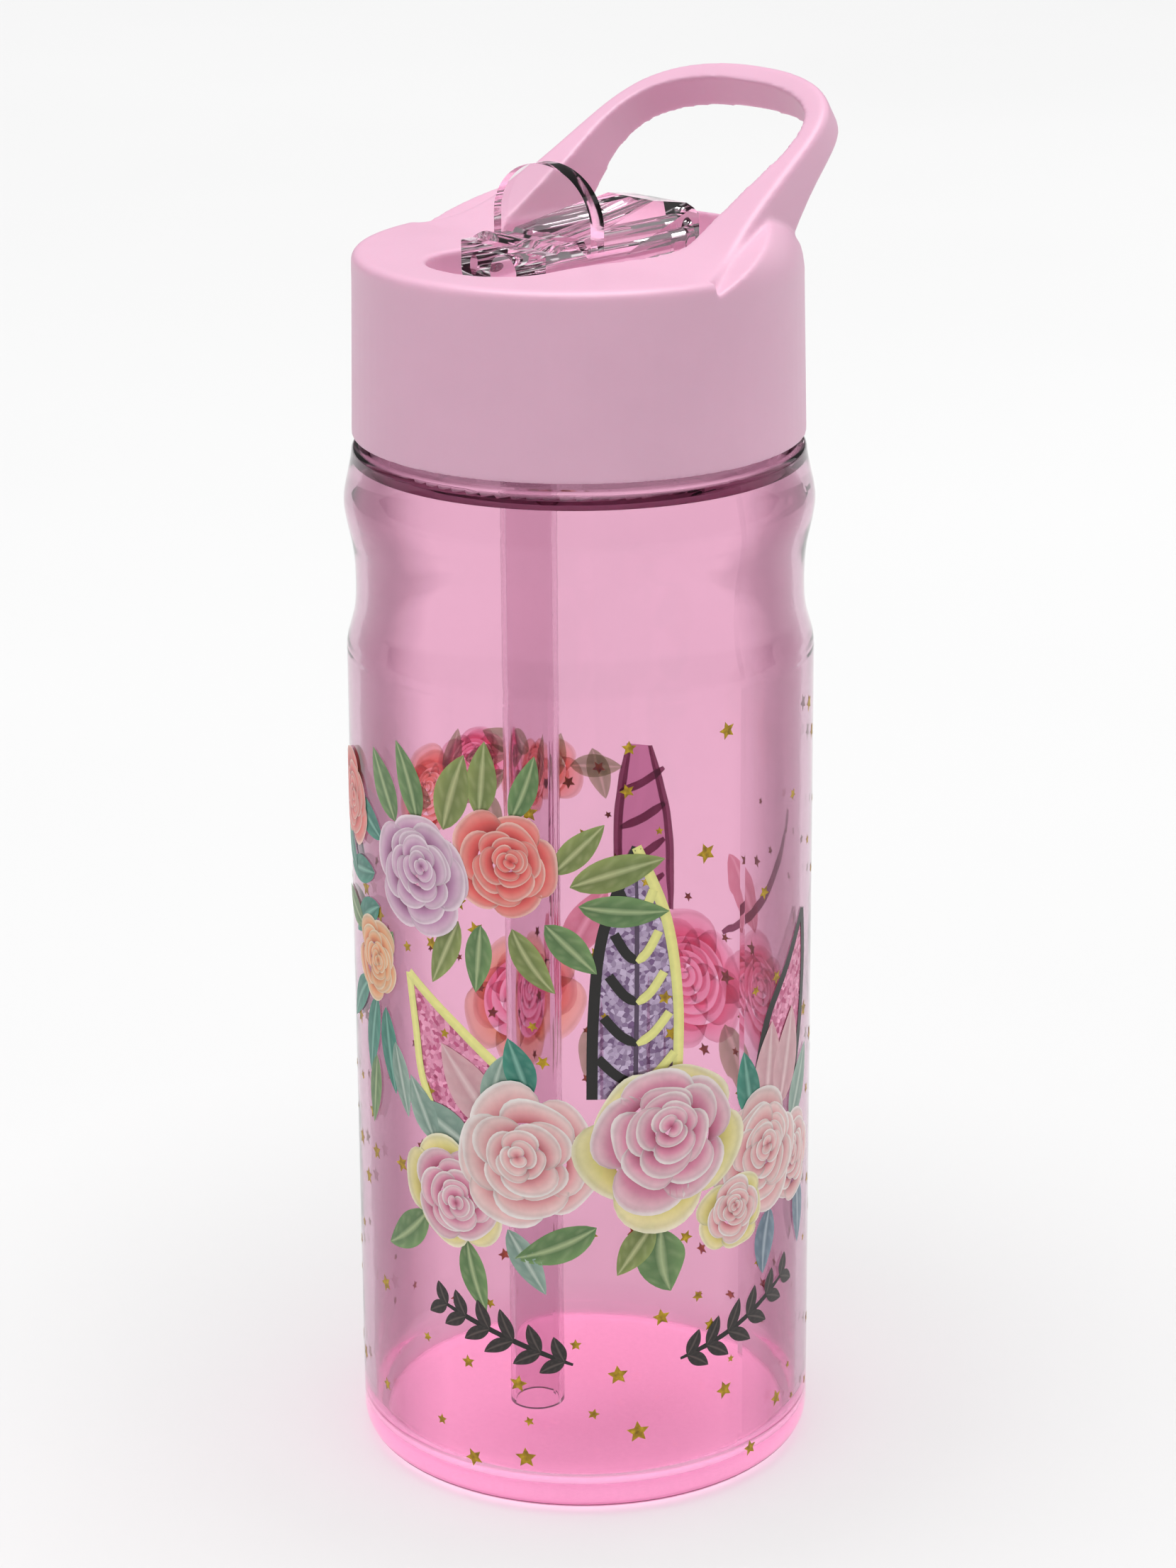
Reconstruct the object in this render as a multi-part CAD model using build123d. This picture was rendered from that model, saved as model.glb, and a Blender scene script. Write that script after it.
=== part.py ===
"""Kids' flip-straw water bottle: clear bottle, screw lid with a carry loop, flip spout and straw.

Units are millimetres.  +Z is up, the front of the lid (where the thumb tab folds down) faces -Y,
and the origin is the centre of the flat base.
"""
from build123d import *
import os
from math import cos, radians, sin, sqrt

# ---- bottle -------------------------------------------------------------------------------
BODY_R = 36.0             # straight lower body, also the size a sleeve or cup holder sees
BODY_WALL = 1.8
BASE_THICK = 3.2
HEEL_R = 4.0
WAIST_LOW_Z = 131.5       # the finger waist runs between these two heights
WAIST_MID_Z = 143.0
WAIST_HIGH_Z = 154.6
WAIST_DEPTH = 1.6
SHOULDER_Z = 163.8
SHOULDER_R = 34.6
SHOULDER_EDGE_R = 1.2
NECK_R = 28.8
MOUTH_R = 26.6
RIM_Z = 181.0

# ---- screw thread -------------------------------------------------------------------------
PITCH = 4.0
NECK_THREAD_TURNS = 1.5
NECK_THREAD_Z = 171.0     # lower end of the ridge on the neck, at its centre line
LID_THREAD_TURNS = 1.25
THREAD_DEPTH = 1.1
THREAD_ROOT_W = 2.0
THREAD_CREST_W = 1.0

# ---- lid shell and the threaded liner inside it ---------------------------------------------
SKIRT_Z = 165.0
SKIRT_R = 34.5
LID_TOP_R = 34.0
SHELL_BORE_R = 32.0
REAR_TOP_Z = 194.0
REAR_EDGE_R = 4.2
PLATE_Z = 193.1           # flat front half of the lid top
PLATE_EDGE_R = 1.4
PLATE_END_Y = -4.0        # the raised front half stops here, in a step down to the rounded rear
STEP_TOP_Z = 190.9        # the rear's height behind that step; it climbs from there
CORE_TOP_Z = 190.6        # underside of the lid top
HAUNCH_PEAK_Y = 16.3    # the haunch under each leg of the loop climbs to this point
HAUNCH_PEAK_Z = 199.2
HAUNCH_END_Y = 22.5
HAUNCH_IN_X = 19.5      # inner face of the two haunches
HAUNCH_EDGE_R = 10.0
LINER_LOW_Z = 166.0
LINER_UNDER_Z = 183.0
LINER_TOP_Z = 184.6
LINER_BORE_R = 30.3

# ---- carry loop, moulded with the shell -------------------------------------------------------
SLOPE = 32.2              # degrees that the loop's upper face climbs towards the rear
SLOPE_FOOT_Y = 1.56       # where that face would meet the plate
SLOPE_BLEND_R = 24.0
LOOP_LENGTH = 43.6        # along the slope, from its foot to the end of the loop
LOOP_BAR = 4.0            # width of the loop's bar at that end
LOOP_THICK = 6.0
LOOP_EDGE_R = 1.0
UNDER_BEND = (31.5, 205.3)    # (Y, Z) points on the underside of the loop
UNDER_FOOT = (20.6, 194.0)

# ---- recess in the lid top ---------------------------------------------------------------------
POCKET_WALL = 1.8
POCKET_FLOOR_Z = 186.6
RECESS_TIP_Y = -26.0
RECESS_FRONT_W = 11.0     # half-width beside the barrel
RECESS_HALF_W = 18.2
RECESS_REAR_R = 31.0
WELL_FLOOR_Z = 184.2      # the deeper well under the spout's barrel
WELL_UNDER_Z = 182.2
WELL_HALF_W = 10.4
WELL_FRONT_Y = -18.2
WELL_REAR_Y = -3.6
HOUSING_R = 15.3          # round front part of the walls around the recess
HOUSING_Y = -12.6
HOUSING_END_Y = 32.0

# ---- flip spout -----------------------------------------------------------------------------
PIVOT_Y = -10.5
PIVOT_Z = 191.0
BARREL_R = 4.6
SPOUT_HALF_W = 9.3
BLOCK_TOP_Z = 195.0
TRUNNION_R = 1.4
TRUNNION_END_X = 13.3
PIVOT_BOSS_R = 2.0
PIVOT_BOSS_X = 15.2
RUNNING_GAP = 0.05
TAB_HALF_W = 10.6
TAB_ARCH = 8.5            # height of the tab's arched top
TAB_LOW_Z = 194.4
TAB_TOP_Z = 206.4
TAB_FRONT_Y = -7.3
TAB_REAR_Y = -4.6
CHANNEL_R = 2.9           # straight drink channel through the pivot axis
WEDGE_UNDER_Z = 187.2
WEDGE_END_Y = 19.6
WEDGE_END_W = 6.0
WEDGE_TOP_W = 4.2         # half-width of the wedge's flat top between its sloping sides
WEDGE_SIDE_Z = 193.4      # its sides stand upright to here
RIDGE_Y = 11.0
RIDGE_Z = 199.2
NOZZLE_R = 4.2
NOZZLE_END_Y = 22.2

# ---- seals, vent and straw ----------------------------------------------------------------------
FIT_GAP = 0.05            # between pieces that are pushed together
SEAL_GAP = 0.15           # seal to barrel
SEAL_R = 5.0
SEAL_FLANGE_R = 6.6
SEAL_LOW_Z = 180.4
SOCKET_BORE_R = 6.7
SOCKET_R = 8.3
SOCKET_LOW_Z = 170.0
STRAW_R = 4.3
STRAW_BORE_R = 3.5
STRAW_LOW_Z = 6.5
STRAW_HIGH_Z = 178.6
CONNECTOR_LOW_Z = 168.5
VENT_Y = 14.0             # vent valve in the liner, behind the well
VENT_STEM_R = 1.4
VENT_CAP_R = 4.0
VENT_HOLE_R = 1.0
GASKET_IN_R = 26.9
GASKET_OUT_R = 30.1

LOOP_ROOT_Z = REAR_TOP_Z - REAR_EDGE_R - 6
SLOPE_PLANE = Plane(
    origin=(0, SLOPE_FOOT_Y, PLATE_Z),
    x_dir=(1, 0, 0),
    z_dir=(0, -sin(radians(SLOPE)), cos(radians(SLOPE))),
)


def tube(outer, inner, low, high, x=0.0, y=0.0):
    """A vertical tube between two heights."""
    ring = Cylinder(outer, high - low) - Cylinder(inner, high - low)
    return Pos(x, y, (low + high) / 2) * ring


def rod(radius, low, high, x=0.0, y=0.0):
    """A vertical solid cylinder between two heights."""
    return Pos(x, y, (low + high) / 2) * Cylinder(radius, high - low)


def cross_rod(radius, half_length):
    """A cylinder on the spout's pivot axis, even about the middle plane."""
    return Pos(0, PIVOT_Y, PIVOT_Z) * Rot(0, 90, 0) * Cylinder(radius, 2 * half_length)


def block(x_half, y_low, y_high, z_low, z_high):
    """A box even about the middle plane."""
    centre = Pos(0, (y_low + y_high) / 2, (z_low + z_high) / 2)
    return centre * Box(2 * x_half, y_high - y_low, z_high - z_low)


def turned(outline):
    """Turn a closed (radius, height) outline about the bottle's axis."""
    return revolve(Plane.XZ * make_face(outline), Axis.Z)


def side_prism(outline, half_width):
    """Extrude a closed (Y, Z) outline evenly to both sides of the middle plane."""
    return extrude(Plane.YZ * make_face(outline), half_width, both=True)


def mirrored(points):
    """Complete one half of a row of (half-width, place) points with its mirror image."""
    return points + [(-x, y) for x, y in reversed(points) if x > 0]


def thread_ridge(root_r, reach, start_z, turns):
    """A helical ridge on a cylinder; a negative reach makes it stand inwards."""
    sink = -0.3 if reach > 0 else 0.3
    path = Helix(pitch=PITCH, height=PITCH * turns, radius=root_r, center=(0, 0, start_z))
    half_root = THREAD_ROOT_W / 2
    half_crest = THREAD_CREST_W / 2
    section = Polyline(
        (root_r + sink, start_z - half_root),
        (root_r + reach, start_z - half_crest),
        (root_r + reach, start_z + half_crest),
        (root_r + sink, start_z + half_root),
        close=True,
    )
    return sweep(Plane.XZ * make_face(section), path=path, is_frenet=True)


def body_side(wall):
    """The bottle's side above the straight part; wall is 0 outside and the wall inside."""
    radius = BODY_R - wall
    return Spline(
        (radius, WAIST_LOW_Z),
        (radius - 0.68 * WAIST_DEPTH, WAIST_LOW_Z + 5.0),
        (radius - WAIST_DEPTH, WAIST_MID_Z),
        (radius - 0.7 * WAIST_DEPTH, WAIST_HIGH_Z - 6.0),
        (radius - 0.03, WAIST_HIGH_Z),
        (SHOULDER_R - wall, SHOULDER_Z - SHOULDER_EDGE_R - wall),
        tangents=((0, 1), (-0.12, 1)),
    )


def bottle_body():
    """Clear one-piece bottle: flat thick base, finger waist, shoulder and threaded neck."""
    side = body_side(0)
    edge = (SHOULDER_R - SHOULDER_EDGE_R, SHOULDER_Z)
    outside = turned(
        [
            Line((0, 0), (BODY_R - HEEL_R, 0)),
            RadiusArc((BODY_R - HEEL_R, 0), (BODY_R, HEEL_R), -HEEL_R),
            Line((BODY_R, HEEL_R), (BODY_R, WAIST_LOW_Z)),
            side,
            RadiusArc(side @ 1, edge, -SHOULDER_EDGE_R * 1.02),
            Line(edge, (0, SHOULDER_Z)),
            Line((0, SHOULDER_Z), (0, 0)),
        ]
    )
    bore = BODY_R - BODY_WALL
    inner_heel = HEEL_R + 1.5
    inner_side = body_side(BODY_WALL)
    inner_top = (SHOULDER_R - BODY_WALL - 2.0, SHOULDER_Z - BODY_WALL)
    inside = turned(
        [
            Line((0, BASE_THICK), (bore - inner_heel, BASE_THICK)),
            RadiusArc((bore - inner_heel, BASE_THICK), (bore, BASE_THICK + inner_heel), -inner_heel),
            Line((bore, BASE_THICK + inner_heel), (bore, WAIST_LOW_Z)),
            inner_side,
            Line(inner_side @ 1, inner_top),
            Line(inner_top, (0, SHOULDER_Z - BODY_WALL)),
            Line((0, SHOULDER_Z - BODY_WALL), (0, BASE_THICK)),
        ]
    )
    neck = rod(NECK_R, SHOULDER_Z - 1, RIM_Z)
    neck = fillet(neck.edges().group_by(Axis.Z)[-1], 0.6)
    thread = thread_ridge(NECK_R, THREAD_DEPTH, NECK_THREAD_Z, NECK_THREAD_TURNS)
    return outside + neck + thread - inside - rod(MOUTH_R, SHOULDER_Z - 10, RIM_Z + 1)


def recess_outline():
    """Outline of the opening in the lid top: rounded front, narrow at the pivot, wide rear."""
    rear_corner = (RECESS_HALF_W, sqrt(RECESS_REAR_R**2 - RECESS_HALF_W**2))
    beside_block = (RECESS_FRONT_W, -17.6)
    wide_part = (RECESS_HALF_W, 4.6)
    right = [
        ThreePointArc((0, RECESS_TIP_Y), (7.6, -23.6), beside_block),
        Spline(beside_block, (11.2, -9.0), (13.4, -2.2), wide_part, tangents=((0, 1), (0.3, 1))),
        Line(wide_part, rear_corner),
        RadiusArc(rear_corner, (0, RECESS_REAR_R), -RECESS_REAR_R),
    ]
    left = [edge.mirror(Plane.YZ) for edge in right]
    return make_face(right + left)


def loop_outline():
    """Outer outline of the carry loop in its sloping plane, from below the step to the end."""
    half = [
        (35.6, -10.0),
        (33.1, -6.6),
        (30.6, -2.2),
        (28.7, 2.2),
        (26.5, 9.0),
        (24.9, 17.0),
        (23.8, 25.0),
        (22.6, 31.4),
        (20.3, 36.4),
        (15.8, 40.3),
        (8.8, 42.8),
        (0, LOOP_LENGTH),
    ]
    return make_face([Spline(*mirrored(half)), Line((-35.6, -10.0), (35.6, -10.0))])


def loop_opening():
    """Finger opening of the carry loop in the same plane."""
    half = [
        (18.3, 2.0),
        (18.7, 9.0),
        (19.0, 16.0),
        (19.6, 23.0),
        (19.3, 29.4),
        (17.0, 34.4),
        (12.8, 37.4),
        (6.6, 39.2),
        (0, LOOP_LENGTH - LOOP_BAR),
    ]
    return make_face([Spline(*mirrored(half)), Line((-18.3, 2.0), (18.3, 2.0))])


def loop_profile(low_z):
    """Side view of the plate and loop together: flat front, blend, slope, end and underside."""
    blend = SLOPE_BLEND_R * sin(radians(SLOPE) / 2) / cos(radians(SLOPE) / 2)
    run = (cos(radians(SLOPE)), sin(radians(SLOPE)))
    blend_end = (SLOPE_FOOT_Y + blend * run[0], PLATE_Z + blend * run[1])
    tip = (SLOPE_FOOT_Y + LOOP_LENGTH * run[0], PLATE_Z + LOOP_LENGTH * run[1])
    under_tip = (tip[0] + LOOP_THICK * run[1], tip[1] - LOOP_THICK * run[0])
    return [
        Line((-36, low_z), (-36, PLATE_Z)),
        Line((-36, PLATE_Z), (SLOPE_FOOT_Y - blend, PLATE_Z)),
        RadiusArc((SLOPE_FOOT_Y - blend, PLATE_Z), blend_end, -SLOPE_BLEND_R),
        Line(blend_end, tip),
        Line(tip, under_tip),
        Spline(under_tip, UNDER_BEND, UNDER_FOOT, tangents=((-run[0], -run[1]), (-0.62, -0.8))),
        Line(UNDER_FOOT, (UNDER_FOOT[0], low_z)),
        Line((UNDER_FOOT[0], low_z), (-36, low_z)),
    ]


def carry_loop():
    """The sloping loop by itself, with its root inside the lid and its outer edges rounded."""
    bar = extrude(SLOPE_PLANE * loop_outline(), 20, both=True)
    loop = side_prism(loop_profile(LOOP_ROOT_Z), 36) & bar
    in_lid = rod(LID_TOP_R, LOOP_ROOT_Z, 230)
    overhang = block(40, 8, 60, LOOP_ROOT_Z, 230)
    loop = loop & (in_lid + overhang) & block(40, PLATE_END_Y, 60, LOOP_ROOT_Z, 230)
    long_edges = loop.edges().filter_by(lambda edge: edge.center().Z > 197 and edge.length > 8)
    loop = fillet(long_edges, LOOP_EDGE_R)
    return loop - extrude(SLOPE_PLANE * loop_opening(), 20, both=True)


def well_block(wall, z_low, z_high):
    """The well under the barrel as a block, or the block around it when wall is above zero."""
    return block(WELL_HALF_W + wall, WELL_FRONT_Y - wall, WELL_REAR_Y + wall, z_low, z_high)


def lid_disc(top_z, edge_r):
    """The upper end of the lid as a round disc with a rounded top edge."""
    return turned(
        [
            Line((0, LOOP_ROOT_Z), (LID_TOP_R, LOOP_ROOT_Z)),
            Line((LID_TOP_R, LOOP_ROOT_Z), (LID_TOP_R, top_z - edge_r)),
            RadiusArc((LID_TOP_R, top_z - edge_r), (LID_TOP_R - edge_r, top_z), -edge_r),
            Line((LID_TOP_R - edge_r, top_z), (0, top_z)),
            Line((0, top_z), (0, LOOP_ROOT_Z)),
        ]
    )


def loop_haunches():
    """The climbing haunches that carry the loop's legs on both sides of the recess."""
    side = side_prism(
        Polyline(
            (PLATE_END_Y - 4, LOOP_ROOT_Z),
            (PLATE_END_Y - 4, STEP_TOP_Z),
            (PLATE_END_Y, STEP_TOP_Z),
            (HAUNCH_PEAK_Y, HAUNCH_PEAK_Z),
            (HAUNCH_END_Y, REAR_TOP_Z),
            (HAUNCH_END_Y, LOOP_ROOT_Z),
            close=True,
        ),
        36,
    )
    rounded = side & lid_disc(HAUNCH_PEAK_Z + 1, HAUNCH_EDGE_R)
    return rounded - block(HAUNCH_IN_X, -40, 40, LOOP_ROOT_Z - 1, HAUNCH_PEAK_Z + 2)


def lid_outside():
    """Outer form of the shell: skirt, flat front plate, rounded rear, haunches and loop."""
    skirt = turned(
        [
            Line((0, SKIRT_Z), (SKIRT_R, SKIRT_Z)),
            Line((SKIRT_R, SKIRT_Z), (LID_TOP_R, LOOP_ROOT_Z + 5)),
            Line((LID_TOP_R, LOOP_ROOT_Z + 5), (0, LOOP_ROOT_Z + 5)),
            Line((0, LOOP_ROOT_Z + 5), (0, SKIRT_Z)),
        ]
    )
    climb = (REAR_TOP_Z - STEP_TOP_Z) / (HAUNCH_PEAK_Z - STEP_TOP_Z)
    climb_end_y = PLATE_END_Y + climb * (HAUNCH_PEAK_Y - PLATE_END_Y)
    behind_step = side_prism(
        Polyline(
            (PLATE_END_Y - 4, LOOP_ROOT_Z),
            (PLATE_END_Y - 4, STEP_TOP_Z),
            (PLATE_END_Y, STEP_TOP_Z),
            (climb_end_y, REAR_TOP_Z),
            (40, REAR_TOP_Z),
            (40, LOOP_ROOT_Z),
            close=True,
        ),
        36,
    )
    plate = lid_disc(PLATE_Z, PLATE_EDGE_R) & block(40, -40, PLATE_END_Y, LOOP_ROOT_Z, PLATE_Z)
    rear = lid_disc(REAR_TOP_Z, REAR_EDGE_R) & behind_step
    return skirt + plate + rear + loop_haunches() + carry_loop()


def lid_shell():
    """Lid body with the carry loop, spout recess, pivot sockets and straw socket."""
    core = rod(SHELL_BORE_R, SKIRT_Z - 1, CORE_TOP_Z)
    under_z = POCKET_FLOOR_Z - POCKET_WALL
    plate_join_z = CORE_TOP_Z + 0.5
    rear_width = 2 * (RECESS_HALF_W + POCKET_WALL)
    rear_depth = HOUSING_END_Y - PLATE_END_Y
    plan = Pos(0, HOUSING_Y) * Circle(HOUSING_R)
    plan = plan + Pos(0, HOUSING_END_Y - rear_depth / 2) * Rectangle(rear_width, rear_depth)
    housing = Pos(0, 0, under_z) * extrude(plan, plate_join_z - under_z)
    housing = housing & rod(SHELL_BORE_R + 0.5, under_z, plate_join_z)
    socket = rod(SOCKET_R, SOCKET_LOW_Z, WELL_UNDER_Z + 0.5, y=PIVOT_Y)
    shell = lid_outside() - core + housing + well_block(POCKET_WALL, WELL_UNDER_Z, plate_join_z)
    shell = shell + cross_rod(PIVOT_BOSS_R, PIVOT_BOSS_X) + socket
    shell = shell - Pos(0, 0, POCKET_FLOOR_Z) * extrude(recess_outline(), 14)
    shell = shell - well_block(0, WELL_FLOOR_Z, POCKET_FLOOR_Z + 1)
    shell = shell - rod(SOCKET_BORE_R, SOCKET_LOW_Z - 1, WELL_UNDER_Z, y=PIVOT_Y)
    shell = shell - cross_rod(TRUNNION_R + RUNNING_GAP, TRUNNION_END_X + 0.2)
    shell = shell - rod(SEAL_R + FIT_GAP, WELL_UNDER_Z - 1, WELL_FLOOR_Z + 1, y=PIVOT_Y)
    return shell - rod(VENT_HOLE_R, under_z - 1, POCKET_FLOOR_Z + 1, y=VENT_Y)


def lid_liner():
    """Threaded liner pressed into the shell: skirt, internal thread and seat for the gasket."""
    outer_r = SHELL_BORE_R - 2 * FIT_GAP
    skirt = tube(outer_r, LINER_BORE_R, LINER_LOW_Z, LINER_TOP_Z)
    window = well_block(POCKET_WALL + 0.2, LINER_UNDER_Z - 1, LINER_TOP_Z + 1)
    vent_seat = rod(VENT_STEM_R, LINER_UNDER_Z - 1, LINER_TOP_Z + 1, y=VENT_Y)
    seat = rod(outer_r, LINER_UNDER_Z, LINER_TOP_Z) - window - vent_seat
    thread = thread_ridge(LINER_BORE_R, -THREAD_DEPTH, NECK_THREAD_Z - PITCH / 2, LID_THREAD_TURNS)
    return skirt + seat + thread


def mouthpiece():
    """Faceted wedge that runs back from the barrel and ends in a round nozzle."""
    side = side_prism(
        Polyline(
            (PIVOT_Y, BLOCK_TOP_Z),
            (TAB_REAR_Y, BLOCK_TOP_Z + 0.8),
            (RIDGE_Y, RIDGE_Z),
            (WEDGE_END_Y - 2.4, RIDGE_Z - 1.0),
            (WEDGE_END_Y, RIDGE_Z - 3.0),
            (WEDGE_END_Y, WEDGE_UNDER_Z + 1.6),
            (WEDGE_END_Y - 5.0, WEDGE_UNDER_Z),
            (PIVOT_Y + BARREL_R, WEDGE_UNDER_Z),
            (PIVOT_Y, PIVOT_Z - BARREL_R),
            close=True,
        ),
        SPOUT_HALF_W,
    )
    plan = Polyline(
        *mirrored([(SPOUT_HALF_W, PIVOT_Y), (SPOUT_HALF_W, 2.0), (WEDGE_END_W, WEDGE_END_Y)]),
        close=True,
    )
    low = (SPOUT_HALF_W, WEDGE_UNDER_Z - 5)
    section = Polyline(
        *mirrored([low, (SPOUT_HALF_W, WEDGE_SIDE_Z), (WEDGE_TOP_W, RIDGE_Z + 1)]),
        close=True,
    )
    wedge = side & extrude(Pos(0, 0, WEDGE_UNDER_Z - 5) * make_face(plan), 30)
    wedge = wedge & extrude(Plane.XZ * make_face(section), 60, both=True)
    nozzle = Plane.XZ.offset(-NOZZLE_END_Y) * Pos(0, PIVOT_Z) * Cylinder(
        NOZZLE_R, NOZZLE_END_Y - PIVOT_Y, align=(Align.CENTER, Align.CENTER, Align.MIN)
    )
    nozzle = fillet(nozzle.edges().group_by(Axis.Y)[-1], 1.1)
    return wedge + nozzle


def flip_spout():
    """Clear flip spout: barrel with trunnions, thumb tab, mouthpiece and straight channel."""
    barrel = cross_rod(BARREL_R, SPOUT_HALF_W) + cross_rod(TRUNNION_R, TRUNNION_END_X)
    front = block(SPOUT_HALF_W, PIVOT_Y - BARREL_R, PIVOT_Y, PIVOT_Z, BLOCK_TOP_Z)
    arch_z = TAB_TOP_Z - TAB_ARCH
    tab_plane = Plane(origin=(0, TAB_FRONT_Y, arch_z), x_dir=(1, 0, 0), z_dir=(0, -1, 0))
    upright = Pos(0, (TAB_LOW_Z - arch_z) / 2) * Rectangle(2 * TAB_HALF_W, arch_z - TAB_LOW_Z)
    lower_half = Pos(0, -TAB_ARCH) * Rectangle(4 * TAB_HALF_W, 2 * TAB_ARCH)
    arch = Ellipse(TAB_HALF_W, TAB_ARCH) - lower_half
    tab = extrude(tab_plane * (upright + arch), -(TAB_REAR_Y - TAB_FRONT_Y))
    channel = Pos(0, PIVOT_Y, PIVOT_Z) * Rot(90, 0, 0) * Cylinder(CHANNEL_R, 90)
    return barrel + front + tab + mouthpiece() - channel


def spout_seal():
    """Silicone seal under the barrel, standing through the well floor from a flange below it."""
    top_z = PIVOT_Z - BARREL_R - SEAL_GAP
    flange = rod(SEAL_FLANGE_R, SEAL_LOW_Z, WELL_UNDER_Z, y=PIVOT_Y)
    stem = rod(SEAL_R, WELL_UNDER_Z, top_z, y=PIVOT_Y)
    return flange + stem - rod(CHANNEL_R, SEAL_LOW_Z - 1, top_z + 1, y=PIVOT_Y)


def straw_connector():
    """Silicone sleeve that holds the straw's top end in the lid's socket."""
    sleeve = rod(SOCKET_BORE_R - FIT_GAP, SOCKET_LOW_Z, SEAL_LOW_Z, y=PIVOT_Y)
    lip = rod(SOCKET_R, CONNECTOR_LOW_Z, SOCKET_LOW_Z, y=PIVOT_Y)
    lip = chamfer(lip.edges().group_by(Axis.Z)[0], 0.6)
    straw_hole = rod(STRAW_R + FIT_GAP, CONNECTOR_LOW_Z - 1, STRAW_HIGH_Z, y=PIVOT_Y)
    return sleeve + lip - straw_hole - rod(CHANNEL_R, STRAW_HIGH_Z - 1, SEAL_LOW_Z + 1, y=PIVOT_Y)


def drinking_straw():
    """Clear straight straw."""
    return tube(STRAW_R, STRAW_BORE_R, STRAW_LOW_Z, STRAW_HIGH_Z, y=PIVOT_Y)


def lid_gasket():
    """Silicone ring between the bottle's rim and the liner."""
    ring = tube(GASKET_OUT_R, GASKET_IN_R, RIM_Z, LINER_UNDER_Z)
    return chamfer(ring.edges(), 0.3)


def vent_valve():
    """Silicone umbrella valve: cap under the liner, stem through it and a retaining bulb."""
    cap = rod(VENT_CAP_R, LINER_UNDER_Z - 0.9, LINER_UNDER_Z, y=VENT_Y)
    cap = chamfer(cap.edges().group_by(Axis.Z)[0], 0.5)
    stem = rod(VENT_STEM_R, LINER_UNDER_Z, LINER_TOP_Z, y=VENT_Y)
    upright = (Align.CENTER, Align.CENTER, Align.MIN)
    bulb = Pos(0, VENT_Y, LINER_TOP_Z) * Cone(VENT_STEM_R, 0.6, 0.15, align=upright)
    return cap + stem + bulb


PARTS = {
    "bottle_body": bottle_body,
    "lid_shell": lid_shell,
    "lid_liner": lid_liner,
    "flip_spout": flip_spout,
    "spout_seal": spout_seal,
    "straw_connector": straw_connector,
    "drinking_straw": drinking_straw,
    "lid_gasket": lid_gasket,
    "vent_valve": vent_valve,
}

os.makedirs("parts", exist_ok=True)
for node, make in PARTS.items():
    export_step(make(), f"parts/{node}.step")
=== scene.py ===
"""Looks of the kids' flip-straw bottle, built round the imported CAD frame.  Units are metres."""
import bpy
import random
from math import atan2, cos, degrees, hypot, pi, radians, sin
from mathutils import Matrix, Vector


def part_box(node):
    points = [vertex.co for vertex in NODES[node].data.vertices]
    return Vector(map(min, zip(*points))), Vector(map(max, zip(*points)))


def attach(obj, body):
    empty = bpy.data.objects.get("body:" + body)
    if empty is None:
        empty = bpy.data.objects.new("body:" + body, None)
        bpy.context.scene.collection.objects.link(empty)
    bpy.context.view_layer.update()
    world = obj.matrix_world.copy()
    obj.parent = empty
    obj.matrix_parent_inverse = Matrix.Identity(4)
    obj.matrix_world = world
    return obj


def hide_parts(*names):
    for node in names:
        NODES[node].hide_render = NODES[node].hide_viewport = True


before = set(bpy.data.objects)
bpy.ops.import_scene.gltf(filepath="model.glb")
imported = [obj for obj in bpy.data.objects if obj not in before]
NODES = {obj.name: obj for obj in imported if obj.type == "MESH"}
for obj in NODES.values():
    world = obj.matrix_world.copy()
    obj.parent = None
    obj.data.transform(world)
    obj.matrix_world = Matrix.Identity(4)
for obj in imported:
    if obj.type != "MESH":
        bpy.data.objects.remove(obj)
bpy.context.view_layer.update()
MM = 0.001

# ---- camera: where the bottle is looked at from; angles in degrees, lens and sensor in mm --------
CAMERA_AZIMUTH = 47.0
CAMERA_DISTANCE = 631.5 * MM
CAMERA_HEIGHT = 316.6 * MM
CAMERA_TURN = (71.744, 0.340, 46.795)
CAMERA_LENS = 97.85
SENSOR_MM = 36.0

# ---- the bottle's printed side, from the frame ---------------------------------------------------
BODY_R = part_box("bottle_body")[1][0]
INK_LIFT = 0.03 * MM      # the first ink layer over the bottle's wall
LAYER = 0.003 * MM        # between two overlapping ink layers
# ink levels, in layers, at which the prints start: none shares a height with one it overlaps
LINES_LEVEL = 5
LEAVES_LEVEL = 26
SPRIGS_LEVEL = 40


# ---- small helpers -------------------------------------------------------------------------------
def shade_smooth(obj):
    """Every face of the object shaded smooth."""
    faces = obj.data.polygons
    faces.foreach_set("use_smooth", [True] * len(faces))


def new_object(name, verts, faces):
    """A smooth mesh object from plain lists."""
    mesh = bpy.data.meshes.new(name)
    mesh.from_pydata(verts, [], faces)
    mesh.update()
    obj = bpy.data.objects.new(name, mesh)
    bpy.context.scene.collection.objects.link(obj)
    shade_smooth(obj)
    return obj


def mix(a, b, t):
    """A colour between two colours."""
    t = max(0.0, min(1.0, t))
    return tuple(x + (y - x) * t for x, y in zip(a, b))


def scale(colour, k):
    """A colour made lighter or darker."""
    return tuple(max(0.0, min(1.0, c * k)) for c in colour)


def srgb(r, g, b):
    """Linear colour from eight-bit display values."""
    def channel(v):
        v = v / 255
        return v / 12.92 if v <= 0.04045 else ((v + 0.055) / 1.055) ** 2.4
    return (channel(r), channel(g), channel(b))


# ---- materials -----------------------------------------------------------------------------------
FOOT_SHARE = 0.8                  # how matt the bottle's textured underside is
FOOT_FADE = (0.2 * MM, 0.7 * MM)  # heights over which that texture ends
BASE_FADE = (5.0 * MM, 9.0 * MM)  # heights over which the wall's edge tint sets in
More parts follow.
